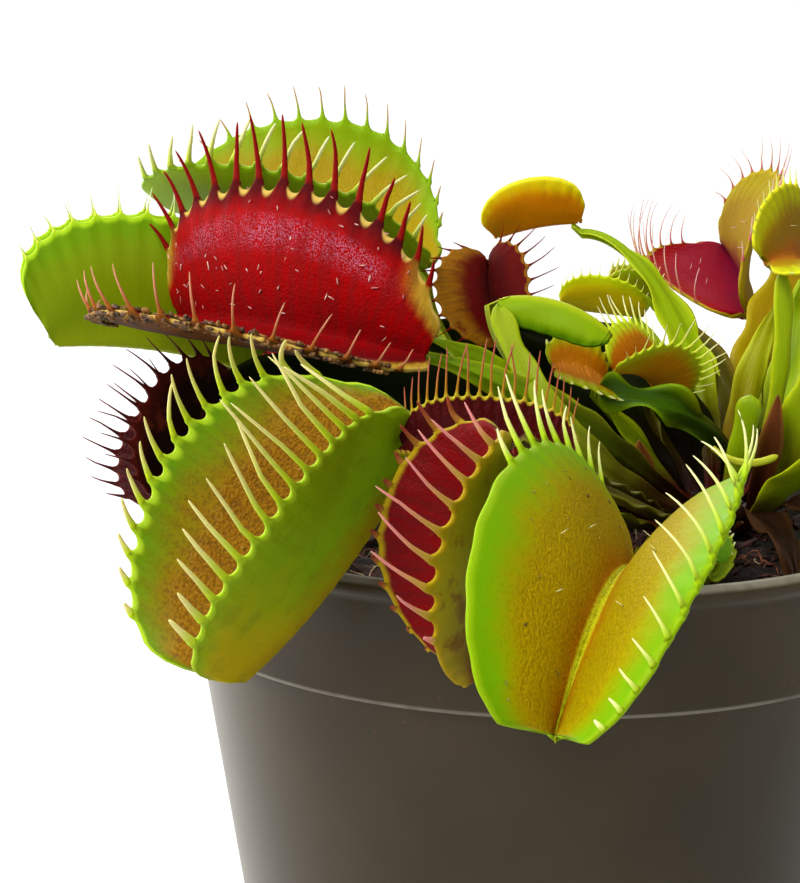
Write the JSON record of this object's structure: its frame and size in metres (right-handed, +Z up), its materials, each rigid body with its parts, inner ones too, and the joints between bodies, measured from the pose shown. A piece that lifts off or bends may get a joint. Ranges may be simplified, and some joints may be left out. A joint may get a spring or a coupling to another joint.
{
  "type": "potted venus flytrap",
  "caption": "Potted venus flytrap: a tapered round nursery pot of peat with a short rhizome, winged leaf stalks and toothed two-lobed traps, some open and some closed.",
  "frame": {"origin": "middle of the pot's flat underside", "axes": "+Z up, +Y away from the side that the picture shows, +X to its right"},
  "size_m": [0.1399, 0.1639, 0.1222],
  "materials": {
    "pot_plastic": "dark warm grey moulded plastic, half gloss, dusty",
    "peat": "damp black peat with reddish fibres",
    "rhizome": "brown-red swollen leaf bases",
    "petiole": "bright green, softly glossy",
    "trap_green": "yellow-green, finely granular",
    "trap_red": "deep red inside, olive outside, finely granular",
    "trap_yellow": "yellow with an orange middle, finely granular"
  },
  "bodies": {
    "root": {"pot": "pot_plastic", "soil": "peat", "crown": "rhizome", "petiole_front_left": "petiole", "trap_front_left": "trap_green", "petiole_front_middle": "petiole", "trap_front_middle": "trap_red", "petiole_front_open": "petiole", "trap_front_open": "trap_yellow", "petiole_left_red": "petiole", "trap_left_red": "trap_red", "petiole_left_green": "petiole", "trap_left_green": "trap_green", "petiole_far_left": "petiole", "trap_far_left": "trap_green", "petiole_left_low": "petiole", "trap_left_low": "trap_red", "petiole_middle_red": "petiole", "trap_middle_red": "trap_red", "petiole_back_crescent": "petiole", "trap_back_crescent": "trap_yellow", "petiole_young_pod": "petiole", "trap_young_pod": "trap_green", "petiole_back_small": "petiole", "trap_back_small": "trap_green", "petiole_middle_small": "petiole", "trap_middle_small": "trap_yellow", "petiole_middle_tiny": "petiole", "trap_middle_tiny": "trap_yellow", "petiole_right_back_red": "petiole", "trap_right_back_red": "trap_red", "petiole_right_green": "petiole", "trap_right_green": "trap_yellow", "petiole_right_front": "petiole", "trap_right_front": "trap_green", "petiole_right_side": "petiole", "trap_right_side": "trap_red", "petiole_right_rear": "petiole", "trap_right_rear": "trap_green", "petiole_rear": "petiole", "trap_rear": "trap_yellow", "petiole_rear_left": "petiole", "trap_rear_left": "trap_red"}
  },
  "joints": []
}
